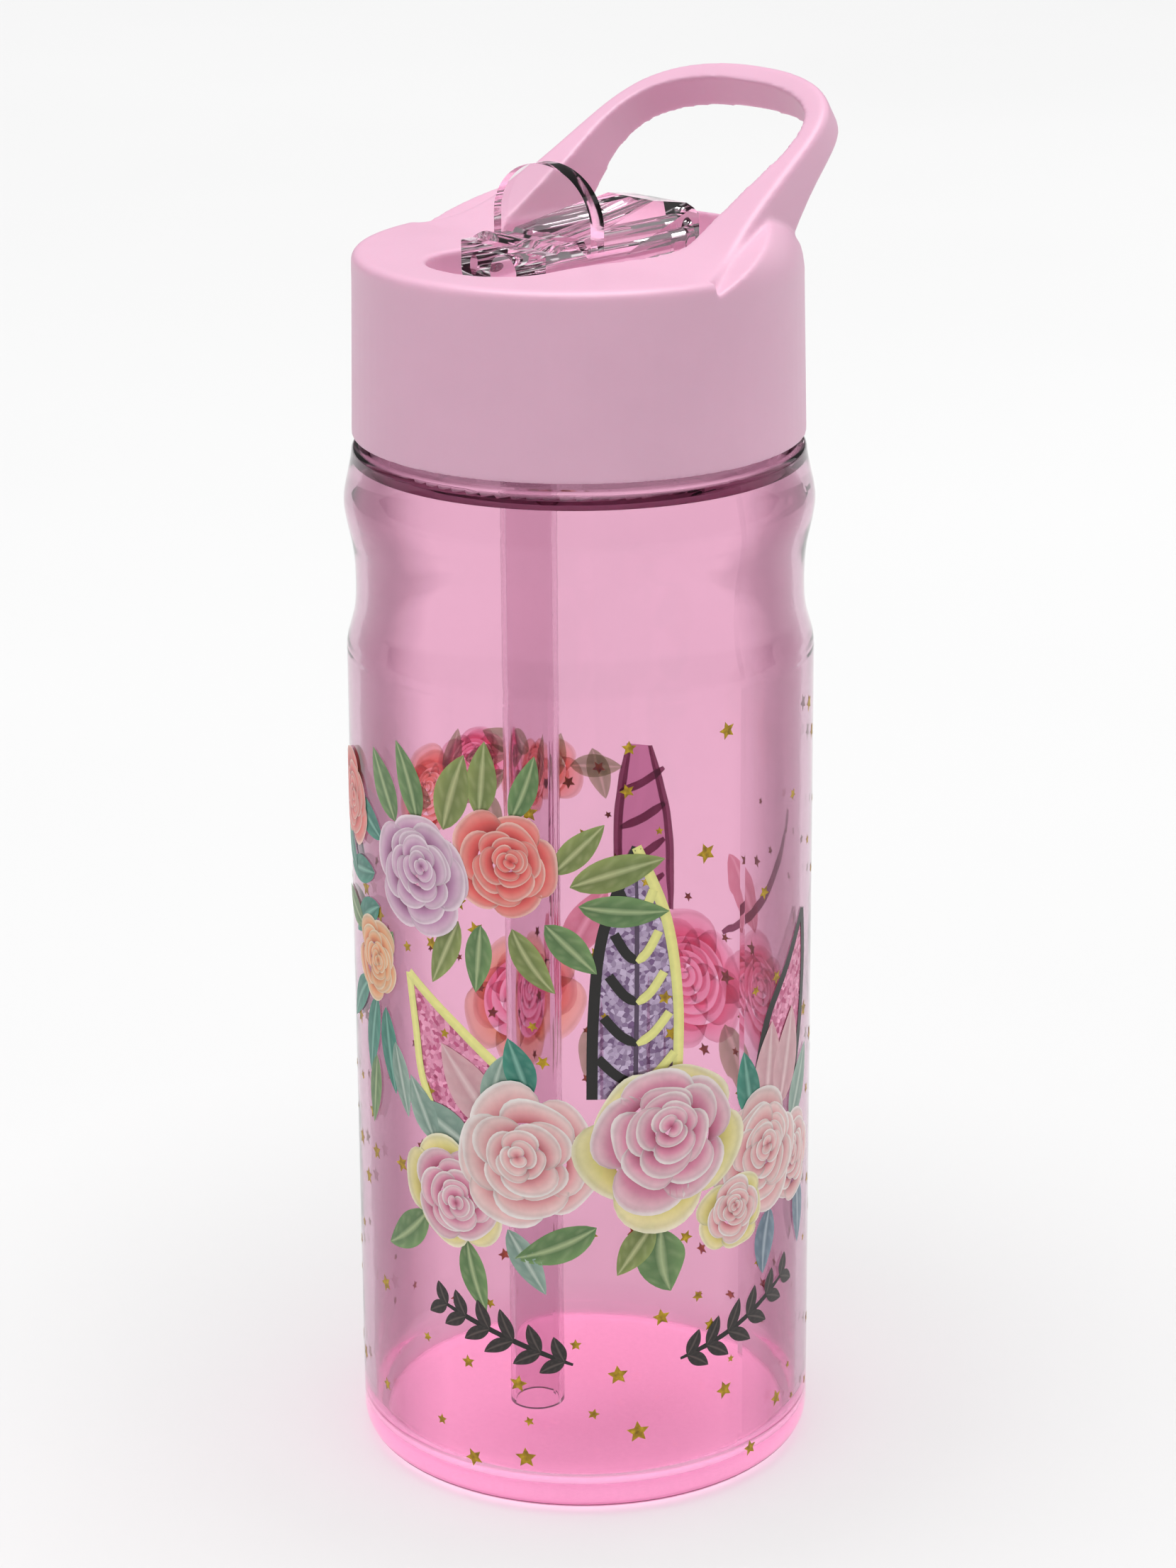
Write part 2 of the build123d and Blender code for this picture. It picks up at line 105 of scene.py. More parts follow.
# how far a surface is turned away where its edge colour sets in, and where it is full
THIN_BAND = (0.78, 0.96)
WALL_BAND = (0.30, 0.50)


def node_material(name):
    """A new node material with its shader, node list and link list."""
    material = bpy.data.materials.new(name)
    material.use_nodes = True
    nodes = material.node_tree.nodes
    links = material.node_tree.links
    return material, nodes, links, nodes["Principled BSDF"]


def add_noise(nodes, links, size, detail=3.0):
    """A noise texture whose grains are about that size, in metres."""
    place = nodes.new("ShaderNodeTexCoord")
    noise = nodes.new("ShaderNodeTexNoise")
    noise.inputs["Scale"].default_value = 1.0 / size
    noise.inputs["Detail"].default_value = detail
    links.new(place.outputs["Object"], noise.inputs["Vector"])
    return noise


def add_ramp(nodes, links, source, stops):
    """A colour ramp over a value; stops are (place, colour) pairs."""
    ramp = nodes.new("ShaderNodeValToRGB")
    links.new(source, ramp.inputs["Fac"])
    elements = ramp.color_ramp.elements
    while len(elements) < len(stops):
        elements.new(0.5)
    for element, (place, colour) in zip(elements, stops):
        element.position = place
        element.color = (*colour, 1.0)
    return ramp.outputs["Color"]


def add_range(nodes, links, source, low, high, start=0.0, end=1.0):
    """The value brought from one range into another."""
    fit = nodes.new("ShaderNodeMapRange")
    links.new(source, fit.inputs["Value"])
    fit.inputs["From Min"].default_value = start
    fit.inputs["From Max"].default_value = end
    fit.inputs["To Min"].default_value = low
    fit.inputs["To Max"].default_value = high
    return fit.outputs["Result"]


def add_mix(nodes, links, factor, first, second):
    """Two colours mixed by a value; each is a socket or a plain colour."""
    blend = nodes.new("ShaderNodeMix")
    blend.data_type = "RGBA"
    links.new(factor, blend.inputs["Factor"])
    for name, colour in (("A", first), ("B", second)):
        if isinstance(colour, tuple):
            blend.inputs[name].default_value = (*colour, 1.0)
        else:
            links.new(colour, blend.inputs[name])
    return blend.outputs["Result"]


def add_bump(nodes, links, shader, source, height, strength):
    """Fine relief from a value."""
    bump = nodes.new("ShaderNodeBump")
    bump.inputs["Distance"].default_value = height
    bump.inputs["Strength"].default_value = strength
    links.new(source, bump.inputs["Height"])
    links.new(bump.outputs["Normal"], shader.inputs["Normal"])


def object_height(nodes, links):
    """The height of the point that is shaded."""
    place = nodes.new("ShaderNodeTexCoord")
    parts = nodes.new("ShaderNodeSeparateXYZ")
    links.new(place.outputs["Object"], parts.inputs["Vector"])
    return parts.outputs["Z"]


def textured_foot(nodes, links, shader, colour):
    """The shader, turned mostly matt on the lowest half millimetre."""
    matt = nodes.new("ShaderNodeBsdfDiffuse")
    grain = add_noise(nodes, links, 0.8 * MM)
    tones = [(0.3, scale(colour, 0.95)), (0.7, colour)]
    links.new(add_ramp(nodes, links, grain.outputs["Fac"], tones), matt.inputs["Color"])
    both = nodes.new("ShaderNodeMixShader")
    share = add_range(nodes, links, object_height(nodes, links), FOOT_SHARE, 0.0, *FOOT_FADE)
    links.new(share, both.inputs["Fac"])
    links.new(shader.outputs["BSDF"], both.inputs[1])
    links.new(matt.outputs["BSDF"], both.inputs[2])
    return both


def above_base(nodes, links, value):
    """The value on the bottle's wall, faded out towards its base."""
    fade = add_range(nodes, links, object_height(nodes, links), 0.0, 1.0, *BASE_FADE)
    product = nodes.new("ShaderNodeMath")
    product.operation = "MULTIPLY"
    links.new(value, product.inputs[0])
    links.new(fade, product.inputs[1])
    return product.outputs["Value"]


def clear_material(
    name, tint, edge, gloss, roughness, ior, shadow_tint, wave=0.0, depth=None, foot=None, band=THIN_BAND
):
    """Clear plastic: darker where it is seen edge on, and tinted by its thickness.

    A foot colour gives it a finely textured, matt underside where it stands, and leaves the edge
    colour off its base.
    """
    material, nodes, links, shader = node_material(name)
    shader.inputs["Transmission Weight"].default_value = 1.0
    shader.inputs["IOR"].default_value = ior
    shader.inputs["Specular Tint"].default_value = (*gloss, 1.0)
    cloud = add_noise(nodes, links, 30 * MM)
    body = add_ramp(nodes, links, cloud.outputs["Fac"], [(0.35, scale(tint, 0.97)), (0.65, tint)])
    facing = nodes.new("ShaderNodeLayerWeight")
    facing.inputs["Blend"].default_value = 0.5
    rim = add_range(nodes, links, facing.outputs["Facing"], 0.0, 1.0, *band)
    if foot:
        rim = above_base(nodes, links, rim)
    links.new(add_mix(nodes, links, rim, body, edge), shader.inputs["Base Color"])
    smear = add_noise(nodes, links, 4 * MM)
    rough = add_range(nodes, links, smear.outputs["Fac"], roughness * 0.6, roughness * 1.5)
    links.new(rough, shader.inputs["Roughness"])
    if wave > 0:
        add_bump(nodes, links, shader, cloud.outputs["Fac"], wave, 0.5)
    see = nodes.new("ShaderNodeBsdfTransparent")
    see.inputs["Color"].default_value = (*shadow_tint, 1.0)
    path = nodes.new("ShaderNodeLightPath")
    both = nodes.new("ShaderNodeMixShader")
    links.new(path.outputs["Is Shadow Ray"], both.inputs["Fac"])
    surface = shader
    if foot:
        surface = textured_foot(nodes, links, shader, foot)
    links.new(surface.outputs[0], both.inputs[1])
    links.new(see.outputs["BSDF"], both.inputs[2])
    links.new(both.outputs["Shader"], nodes["Material Output"].inputs["Surface"])
    if depth:
        colour, density = depth
        absorb = nodes.new("ShaderNodeVolumeAbsorption")
        absorb.inputs["Color"].default_value = (*colour, 1.0)
        absorb.inputs["Density"].default_value = density
        links.new(absorb.outputs["Volume"], nodes["Material Output"].inputs["Volume"])
    return material


def satin_plastic(name, colour, roughness):
    """Moulded plastic with a fine satin texture and slow changes of tone."""
    material, nodes, links, shader = node_material(name)
    cloud = add_noise(nodes, links, 20 * MM)
    tones = [(0.3, scale(colour, 0.97)), (0.7, scale(colour, 1.02))]
    links.new(add_ramp(nodes, links, cloud.outputs["Fac"], tones), shader.inputs["Base Color"])
    grain = add_noise(nodes, links, 0.35 * MM, detail=2.0)
    links.new(
        add_range(nodes, links, grain.outputs["Fac"], roughness - 0.06, roughness + 0.08),
        shader.inputs["Roughness"],
    )
    shader.inputs["Subsurface Weight"].default_value = 0.15
    shader.inputs["Subsurface Radius"].default_value = (0.004, 0.002, 0.0025)
    shader.inputs["Subsurface Scale"].default_value = 0.5
    add_bump(nodes, links, shader, grain.outputs["Fac"], 0.03 * MM, 0.25)
    return material


def silicone_material(name, colour):
    """Translucent white silicone."""
    material, nodes, links, shader = node_material(name)
    cloud = add_noise(nodes, links, 3 * MM)
    tones = [(0.3, scale(colour, 0.93)), (0.7, colour)]
    links.new(add_ramp(nodes, links, cloud.outputs["Fac"], tones), shader.inputs["Base Color"])
    links.new(add_range(nodes, links, cloud.outputs["Fac"], 0.4, 0.6), shader.inputs["Roughness"])
    shader.inputs["Transmission Weight"].default_value = 0.35
    return material


def ink_material(name, cover):
    """Printed ink: mottled paint with a soft gloss, over a film that colours light passing through."""
    material, nodes, links, shader = node_material(name)
    paint = nodes.new("ShaderNodeAttribute")
    paint.attribute_name = "paint"
    mottle = add_noise(nodes, links, 1.2 * MM)
    shade = nodes.new("ShaderNodeMix")
    shade.data_type = "RGBA"
    shade.blend_type = "MULTIPLY"
    shade.inputs["Factor"].default_value = 1.0
    tones = [(0.3, (0.96, 0.96, 0.96)), (0.7, (1.0, 1.0, 1.0))]
    links.new(paint.outputs["Color"], shade.inputs["A"])
    links.new(add_ramp(nodes, links, mottle.outputs["Fac"], tones), shade.inputs["B"])
    links.new(shade.outputs["Result"], shader.inputs["Base Color"])
    links.new(add_range(nodes, links, mottle.outputs["Fac"], 0.3, 0.45), shader.inputs["Roughness"])
    film = nodes.new("ShaderNodeBsdfTransparent")
    links.new(shade.outputs["Result"], film.inputs["Color"])
    both = nodes.new("ShaderNodeMixShader")
    links.new(add_range(nodes, links, mottle.outputs["Fac"], cover - 0.04, cover + 0.04), both.inputs["Fac"])
    links.new(film.outputs["BSDF"], both.inputs[1])
    links.new(shader.outputs["BSDF"], both.inputs[2])
    links.new(both.outputs["Shader"], nodes["Material Output"].inputs["Surface"])
    return material


def gold_material(name):
    """Gold ink with a grainy, uneven shine."""
    material, nodes, links, shader = node_material(name)
    grain = add_noise(nodes, links, 0.9 * MM)
    tones = [(0.3, srgb(132, 98, 8)), (0.55, srgb(184, 148, 18)), (0.75, srgb(222, 186, 50))]
    links.new(add_ramp(nodes, links, grain.outputs["Fac"], tones), shader.inputs["Base Color"])
    links.new(add_range(nodes, links, grain.outputs["Fac"], 0.35, 0.6), shader.inputs["Roughness"])
    shader.inputs["Metallic"].default_value = 0.25
    return material


def glitter_material(name, dark, light):
    """Glitter print: small flakes, each with its own tone and tilt."""
    material, nodes, links, shader = node_material(name)
    place = nodes.new("ShaderNodeTexCoord")
    flakes = nodes.new("ShaderNodeTexVoronoi")
    flakes.inputs["Scale"].default_value = 1 / (0.7 * MM)
    links.new(place.outputs["Object"], flakes.inputs["Vector"])
    split = nodes.new("ShaderNodeSeparateColor")
    links.new(flakes.outputs["Color"], split.inputs["Color"])
    tones = [(0.1, dark), (0.6, mix(dark, light, 0.6)), (0.95, light)]
    links.new(add_ramp(nodes, links, split.outputs["Red"], tones), shader.inputs["Base Color"])
    links.new(add_range(nodes, links, split.outputs["Green"], 0.2, 0.6), shader.inputs["Roughness"])
    links.new(add_range(nodes, links, split.outputs["Blue"], 0.1, 0.7), shader.inputs["Metallic"])
    add_bump(nodes, links, shader, split.outputs["Blue"], 0.2 * MM, 0.4)
    return material


def floor_material():
    """Matt pale paper."""
    material, nodes, links, shader = node_material("pale_paper")
    cloud = add_noise(nodes, links, 500 * MM)
    tones = [(place, (tone,) * 3) for place, tone in zip((0.3, 0.7), FLOOR_TONES)]
    links.new(add_ramp(nodes, links, cloud.outputs["Fac"], tones), shader.inputs["Base Color"])
    shader.inputs["Roughness"].default_value = 0.9
    return material


# colour and density of the pink in the bottle's plastic, besides the tint at its surfaces
PINK_DEPTH = ((0.949, 0.073, 0.577), 22.0)

MATERIALS = {
    "clear_pink": clear_material(
        "clear_pink",
        tint=srgb(246, 216, 230),
        edge=srgb(183, 149, 166),
        gloss=srgb(196, 146, 172),
        roughness=0.02,
        ior=1.42,
        shadow_tint=srgb(255, 251, 253),
        wave=0.3 * MM,
        depth=PINK_DEPTH,
        foot=srgb(255, 242, 249),
        band=WALL_BAND,
    ),
    "lid_pink": satin_plastic("lid_pink", srgb(229, 180, 204), 0.38),
    "liner": satin_plastic("liner", srgb(236, 196, 214), 0.5),
    "clear_spout": clear_material(
        "clear_spout",
        tint=srgb(246, 238, 242),
        edge=srgb(216, 207, 213),
        gloss=srgb(255, 255, 255),
        roughness=0.03,
        ior=1.42,
        shadow_tint=srgb(244, 238, 242),
        wave=0.2 * MM,
    ),
    "clear_straw": clear_material(
        "clear_straw",
        tint=srgb(239, 230, 235),
        edge=srgb(140, 100, 120),
        gloss=srgb(214, 180, 198),
        roughness=0.03,
        ior=1.38,
        shadow_tint=srgb(250, 244, 248),
    ),
    "silicone": silicone_material("silicone", srgb(240, 236, 238)),
    "ink": ink_material("ink", cover=0.9),
    "thin_ink": ink_material("thin_ink", cover=0.08),
    "gold": gold_material("gold"),
    "lilac_glitter": glitter_material("lilac_glitter", srgb(120, 92, 130), srgb(206, 186, 214)),
    "pink_glitter": glitter_material("pink_glitter", srgb(190, 90, 130), srgb(246, 170, 200)),
}


def finish_node(node, material):
    """A CAD node keeps its shape and gets a finished material."""
    obj = NODES[node]
    obj.data.materials.clear()
    obj.data.materials.append(MATERIALS[material])


# ---- printed art: ink shapes laid round the bottle's wall ----------------------------------------
# A place on the print is (u, v) in millimetres: u runs along the wall from the front towards +X and
# v is the height.  Flowers, leaves and lines are drawn there and wrapped round the cylinder.
# An (angle, height) place is the same with its u given in degrees round the bottle.
PETAL_GRID = (16, 14)     # rows and columns of a petal's mesh
FILL_GRID = (24, 4)
LEAF_STEPS = 12           # rows of a leaf's mesh, along its midrib
LEAF_COLUMNS = 8
STAR_CORNERS = 10         # outer and inner corners of a five-pointed star
STAR_INNER = 0.48         # reach of a star's inner corners, as a share of its radius
STAR_PAINT = (0.5, 0.4, 0.05)


def along(angle):
    """Distance along the wall from the front, for an angle in degrees."""
    return radians(angle) * BODY_R / MM


def wrap(u, v, lift):
    """The point on the bottle's side for a place on the print."""
    angle = u * MM / BODY_R
    reach = BODY_R + INK_LIFT + lift
    return (reach * sin(angle), -reach * cos(angle), v * MM)


class Print:
    """Ink shapes gathered into one mesh, with a colour at each corner."""

    def __init__(self, name, material, seed):
        self.name = name
        self.material = material
        self.chance = random.Random(seed)
        self.verts = []
        self.faces = []
        self.paint = []
        self.lift = 0.0

    def grid(self, place, colour, rows, columns):
        """A patch whose place and colour are functions of two fractions."""
        start = len(self.verts)
        for i in range(rows + 1):
            for j in range(columns + 1):
                s, t = i / rows, j / columns
                self.verts.append(wrap(*place(s, t), self.lift))
                self.paint.append((*colour(s, t), 1.0))
        for i in range(rows):
            for j in range(columns):
                corner = start + i * (columns + 1) + j
                self.faces.append((corner, corner + 1, corner + columns + 2, corner + columns + 1))
        self.lift += LAYER

    def build(self):
        """Make the object; it rides on the bottle."""
        obj = new_object(self.name, self.verts, self.faces)
        paint = obj.data.color_attributes.new("paint", "FLOAT_COLOR", "POINT")
        paint.data.foreach_set("color", [c for colour in self.paint for c in colour])
        obj.data.materials.append(MATERIALS[self.material])
        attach(obj, "bottle")
        return obj


def draw_petal(art, centre, heading, width, inner, outer, palette):
    """One petal of a flower seen from above, with a shadow below its rolled light rim."""
    deep, mid, light, rim = palette
    chance = art.chance
    phase = chance.uniform(0, 6.3)
    ruffle = chance.uniform(0.012, 0.04)
    notch = chance.uniform(-0.05, 0.07)
    swing = chance.uniform(-0.10, 0.10)
    roll_side = chance.choice((-1, 1))

    def edge(t):
        side = 2 * t - 1
        round_off = 1 - 0.30 * abs(side) ** 3.2 - notch * (1 - side * side) ** 2
        return outer * (round_off + ruffle * sin(7 * t + phase) + swing * side * (1 - side * side))

    def place(s, t):
        angle = heading + (t - 0.5) * width * (1 - 0.10 * s)
        reach = inner + (edge(t) - inner) * s
        return centre[0] + reach * cos(angle), centre[1] + reach * sin(angle)

    def colour(s, t):
        side = 2 * t - 1
        roll = 0.16 + 0.14 * side * roll_side
        tone = mix(deep, mid, s / 0.42) if s < 0.42 else mix(mid, light, (s - 0.42) / 0.36)
        tone = mix(tone, rim, (s - 1 + roll) / (0.7 * roll))
        under_roll = max(0.0, 1 - abs(1 - roll - s) / 0.14)
        side_fold = 0.34 * max(0.0, abs(side) - 0.66) / 0.34
        vein = 0.05 * max(0.0, sin(22 * t + phase)) * s
        return scale(tone, 1 - 0.14 * under_roll - side_fold - vein)

    art.grid(place, colour, *PETAL_GRID)


# rings of a rose from the outside in: reach, root, number of petals and width of each in radians
ROSE_RINGS = (
    (1.00, 0.62, 5, 1.75),
    (0.83, 0.50, 4, 2.05),
    (0.66, 0.38, 4, 1.95),
    (0.51, 0.27, 3, 2.55),
    (0.38, 0.17, 3, 2.40),
    (0.26, 0.08, 2, 3.40),
    (0.15, 0.00, 2, 3.30),
)


def draw_rose(art, angle, height, radius, palette, outer_palette, lean=0.0, ruffled=False):
    """A full rose: uneven rings of broad petals that tighten into a heart set off to one side."""
    centre = (along(angle), height)
    chance = art.chance
    turn = chance.uniform(0, 6.3)
    for reach, root, count, width in ROSE_RINGS:
        colours = outer_palette if reach == 1.0 else palette
        if ruffled and 0.4 < reach < 1.0:
            count += 1
            width *= 0.85
        turn += chance.uniform(0.7, 1.2)
        shift = (1 - reach) * radius * 0.20
        middle = (centre[0] + shift * cos(lean), centre[1] + shift * sin(lean))
        for k in range(count):
            heading = turn + 2 * pi * k / count + chance.uniform(-0.22, 0.22)
            outer = radius * reach * chance.uniform(0.90, 1.06)
            tint = chance.uniform(0.92, 1.05)
            shades = [scale(c, tint) for c in colours]
            draw_petal(art, middle, heading, width, radius * root, outer, shades)


def draw_leaf(art, angle, height, heading, length, width, colours, bend=0.0):
    """A pointed leaf from its stalk end, with a light midrib and slanting veins."""
    dark, light, rib = colours
    spine = [(along(angle), height)]
    turn = radians(heading)
    for _ in range(LEAF_STEPS):
        turn += radians(bend) / LEAF_STEPS
        u, v = spine[-1]
        spine.append((u + length / LEAF_STEPS * cos(turn), v + length / LEAF_STEPS * sin(turn)))

    def place(s, t):
        k = min(int(round(s * LEAF_STEPS)), LEAF_STEPS)
        u, v = spine[k]
        ahead = spine[min(k + 1, LEAF_STEPS)]
        behind = spine[max(k - 1, 0)]
        course = atan2(ahead[1] - behind[1], ahead[0] - behind[0])
        half = width / 2 * sin(pi * min(1.0, s**0.85)) ** 0.85 if 0 < s < 1 else 0.0
        off = (2 * t - 1) * half
        return u - off * sin(course), v + off * cos(course)

    def colour(s, t):
        side = 2 * t - 1
        tone = mix(dark, light, 0.35 + 0.5 * abs(side) * (1 if side > 0 else 0.45))
        if abs(side) < 0.1:
            return mix(tone, rib, 0.75)
        vein = max(0.0, sin(24 * s - 5 * abs(side))) ** 4
        return scale(mix(tone, rib, 0.25 * vein), 1 - 0.25 * (1 - s) * (1 - abs(side)))

    art.grid(place, colour, LEAF_STEPS, LEAF_COLUMNS)


def between(a, b, c, d, t):
    """The value at a fraction of the way from b to c, on a smooth curve through all four."""
    square = 2 * a - 5 * b + 4 * c - d
    cube = 3 * b - a - 3 * c + d
    return 0.5 * (2 * b + (c - a) * t + square * t * t + cube * t**3)


def smooth_line(points, per_span=8):
    """Points of a smooth curve through the given places."""
    ends = [points[0]] + list(points) + [points[-1]]
    out = []
    for span in zip(ends, ends[1:], ends[2:], ends[3:]):
        for k in range(per_span):
            out.append(tuple(between(*values, k / per_span) for values in zip(*span)))
    return out + [tuple(points[-1])]


def draw_line(art, places, width, colour, taper=(0.5, 0.5)):
    """A painted line through (angle, height) places, thinner towards its ends."""
    curve = smooth_line([(along(a), h) for a, h in places])
    last = len(curve) - 1

    def place(s, t):
        k = int(round(s * last))
        ahead = curve[min(k + 1, last)]
        behind = curve[max(k - 1, 0)]
        course = atan2(ahead[1] - behind[1], ahead[0] - behind[0])
        swell = 1 - (1 - taper[0]) * max(0.0, 1 - 4 * s) - (1 - taper[1]) * max(0.0, 4 * s - 3)
        off = (2 * t - 1) * width / 2 * swell
        return curve[k][0] - off * sin(course), curve[k][1] + off * cos(course)

    art.grid(place, lambda s, t: scale(colour, 1 - 0.15 * abs(2 * t - 1)), last, 2)


def draw_star(art, angle, height, radius, turn):
    """A five-pointed star as a fan of triangles."""
    start = len(art.verts)
    u, v = along(angle), height
    art.verts.append(wrap(u, v, art.lift))
    for k in range(STAR_CORNERS):
        reach = radius if k % 2 == 0 else radius * STAR_INNER
        direction = turn + 2 * pi * k / STAR_CORNERS
        art.verts.append(wrap(u + reach * cos(direction), v + reach * sin(direction), art.lift))
    for k in range(STAR_CORNERS):
        art.faces.append((start, start + 1 + k, start + 1 + (k + 1) % STAR_CORNERS))
    art.paint += [(*STAR_PAINT, 1.0)] * (STAR_CORNERS + 1)


def draw_fill(art, left, right):
    """A patch between two smooth lines of (angle, height) places that run the same way."""
    sides = [smooth_line([(along(a), h) for a, h in side], 12) for side in (left, right)]

    def place(s, t):
        a = sides[0][int(round(s * (len(sides[0]) - 1)))]
        b = sides[1][int(round(s * (len(sides[1]) - 1)))]
        return a[0] + (b[0] - a[0]) * t, a[1] + (b[1] - a[1]) * t

    art.grid(place, lambda s, t: BLADE_PAINT, *FILL_GRID)


# ---- inks ----------------------------------------------------------------------------------------
# (root, middle, light, rim) of a petal
MAUVE = (srgb(168, 56, 96), srgb(226, 142, 170), srgb(248, 204, 214), srgb(255, 240, 238))
BLUSH = (srgb(190, 84, 96), srgb(238, 172, 174), srgb(252, 218, 214), srgb(255, 244, 240))
GOLDEN = (srgb(190, 166, 84), srgb(234, 220, 136), srgb(247, 236, 178), srgb(252, 244, 212))
LILAC = (srgb(128, 52, 104), srgb(204, 150, 188), srgb(236, 202, 222), srgb(252, 232, 242))
CORAL = (srgb(176, 36, 40), srgb(240, 100, 96), srgb(252, 156, 146), srgb(255, 204, 192))
PEACH = (srgb(206, 90, 44), srgb(246, 160, 106), srgb(255, 204, 158), srgb(255, 230, 200))
# (edge, middle, rib) of a leaf
GREEN = (srgb(58, 96, 56), srgb(130, 168, 104), srgb(196, 214, 160))
OLIVE = (srgb(86, 104, 52), srgb(160, 176, 100), srgb(210, 216, 160))
TEAL = (srgb(20, 98, 88), srgb(72, 160, 136), srgb(150, 206, 186))
SAGE = (srgb(96, 130, 116), srgb(168, 196, 180), srgb(214, 228, 214))
BLUE_GREY = (srgb(66, 88, 108), srgb(140, 164, 180), srgb(196, 210, 218))
PALE_PINK = (srgb(214, 150, 160), srgb(236, 190, 196), srgb(250, 224, 224))
BACK_PINK = (srgb(246, 160, 184), srgb(252, 196, 212), srgb(254, 216, 226), srgb(255, 232, 238))
BACK_CORAL = (srgb(248, 172, 154), srgb(253, 202, 186), srgb(254, 220, 206), srgb(255, 236, 226))
BACK_GOLD = (srgb(248, 200, 150), srgb(253, 220, 184), srgb(254, 232, 202), srgb(255, 242, 222))
BACK_LEAF = (srgb(150, 166, 130), srgb(196, 206, 172), srgb(222, 226, 200))
BACK_LINE = srgb(134, 84, 106)
BLADE_PAINT = srgb(206, 160, 186)
BLACK = srgb(26, 22, 20)
PALE_YELLOW = srgb(255, 252, 158)


def print_back():
    """The bouquet on the far side, seen through the bottle."""
    art = Print("back_bouquet", "thin_ink", 11)
    for angle, height, heading, length, shades in (
        (-128, 66, 120, 15, PALE_PINK),
        (-150, 72, 80, 14, BACK_LEAF),
        (172, 76, 60, 14, PALE_PINK),
        (-176, 58, 250, 13, BACK_LEAF),
        (-140, 56, 290, 12, BACK_LEAF),
    ):
        draw_leaf(art, angle, height, heading, length, 6.5, shades)
    draw_rose(art, 168, 66, 10.5, BACK_PINK, BACK_PINK, 1.0)
    draw_rose(art, -116, 60, 11.5, BACK_PINK, BACK_GOLD, 2.0)
    draw_rose(art, -164, 64, 12.5, BACK_PINK, BACK_PINK, 0.5, ruffled=True)
    art.build()
    garland = Print("back_garland", "thin_ink", 12)
    for k in range(9):
        draw_leaf(garland, -88 - 6 * k, 97 + 3 * (k % 3), 30 + 75 * (k % 5), 9, 4, BACK_LEAF)
    draw_rose(garland, -88, 99, 8.0, BACK_CORAL, BACK_CORAL, 1.0)
    draw_rose(garland, -102, 102, 7.0, BACK_PINK, BACK_PINK, 2.0)
    draw_rose(garland, -122, 99, 7.0, BACK_CORAL, BACK_CORAL, 0.0)
    garland.build()
    blade = Print("back_blade", "thin_ink", 13)
    blade_left = [(-158, 76), (-157, 91), (-152, 104)]
    blade_right = [(-143, 76), (-143, 91), (-146, 104)]
    draw_fill(blade, blade_left, blade_right)
    blade.build()
    lines = Print("back_lines", "thin_ink", 14)
    lines.lift = LAYER
    for side in (blade_left, blade_right):
        draw_line(lines, side, 1.5, BACK_LINE)
    for step in range(4):
        low = 77 + 6.2 * step
        draw_line(lines, [(-143.5, low), (-150, low + 2), (-156, low + 5)], 1.3, BACK_LINE)
    draw_line(lines, [(152, 101), (158, 92), (169, 82), (185, 74)], 1.6, BACK_LINE)
    lines.build()


def print_leaf_blades():
    """Tall glitter leaves behind the flowers, with their outlines, ribs and side veins."""
    tall = Print("tall_leaf_fill", "lilac_glitter", 21)
    tall_left = [(49, 70), (49.5, 84), (52, 97), (60, 110)]
    tall_right = [(70, 70), (70.5, 84), (67.5, 98), (60, 110)]
    draw_fill(tall, tall_left, tall_right)
    tall.build()
    side = Print("side_leaf_fill", "pink_glitter", 22)
    side_left = [(10, 62), (4, 70), (2, 78), (0, 86.5)]
    side_right = [(35, 68), (29, 73), (15, 80), (0, 86.5)]
    draw_fill(side, side_left, side_right)
    far_left = [(95, 70), (99, 78), (108, 85), (117, 92)]
    far_right = [(112, 66), (116, 74), (118, 84), (117, 92)]
    draw_fill(side, far_left, far_right)
    side.build()
    lines = Print("leaf_lines", "ink", 23)
    lines.lift = LINES_LEVEL * LAYER
    draw_line(lines, tall_left, 1.7, BLACK, (1.0, 0.9))
    draw_line(lines, tall_right, 1.7, PALE_YELLOW, (1.0, 0.9))
    rib = [(59.5, 70), (60, 88), (60, 106)]
    draw_line(lines, rib, 0.7, srgb(90, 70, 96), (1.0, 0.4))
    for step in range(5):
        low = 72 + 6.6 * step
        reach = 9.5 - 1.35 * step
        for way, paint in ((-1, BLACK), (1, PALE_YELLOW)):
            tip = 60 + way * reach
            vein = [(60, low), (60 + way * 0.5 * reach, low + 1.6), (tip, low + 4.6)]
            draw_line(lines, vein, 1.5, paint, (0.5, 1.0))
    draw_line(lines, side_left, 1.5, PALE_YELLOW, (1.0, 1.0))
    draw_line(lines, side_right[1:], 1.7, PALE_YELLOW, (1.0, 1.0))
    draw_line(lines, side_right[:2], 1.7, BLACK, (1.0, 1.0))
    draw_line(lines, far_left, 1.6, BLACK, (1.0, 1.0))
    draw_line(lines, far_right, 1.6, BLACK, (1.0, 1.0))
    lines.build()


